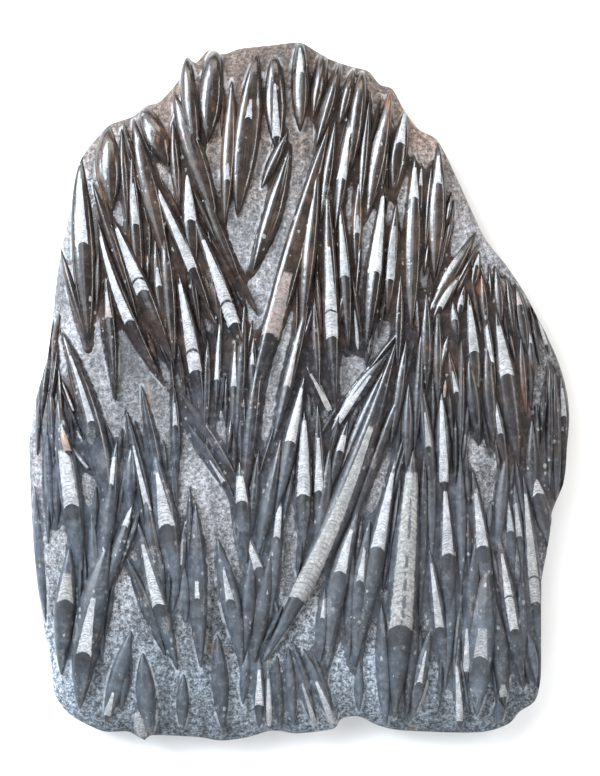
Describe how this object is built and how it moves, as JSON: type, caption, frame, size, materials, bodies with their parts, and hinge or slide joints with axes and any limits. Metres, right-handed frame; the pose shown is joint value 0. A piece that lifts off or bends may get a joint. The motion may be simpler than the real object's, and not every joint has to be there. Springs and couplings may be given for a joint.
{
  "type": "carved orthoceras fossil slab",
  "caption": "Free-form slab of black fossil limestone, its face carved into polished spindle-shaped ridges that hold pale cone fossils; lies on its flat back.",
  "frame": {"origin": "middle of the flat sawn back, at the centre of the bounding box's underside", "axes": "+Z out of the carved face, +Y along the slab's length towards the upper ends of the ridges, +X to the right as the carved face is looked at"},
  "size_m": [0.6, 0.776, 0.0618],
  "materials": {
    "fossil_limestone": "polished black ridges with pale calcite cones, over pecked grey ground and rough broken sides"
  },
  "bodies": {
    "root": {"fossil_slab": "fossil_limestone"}
  },
  "joints": []
}
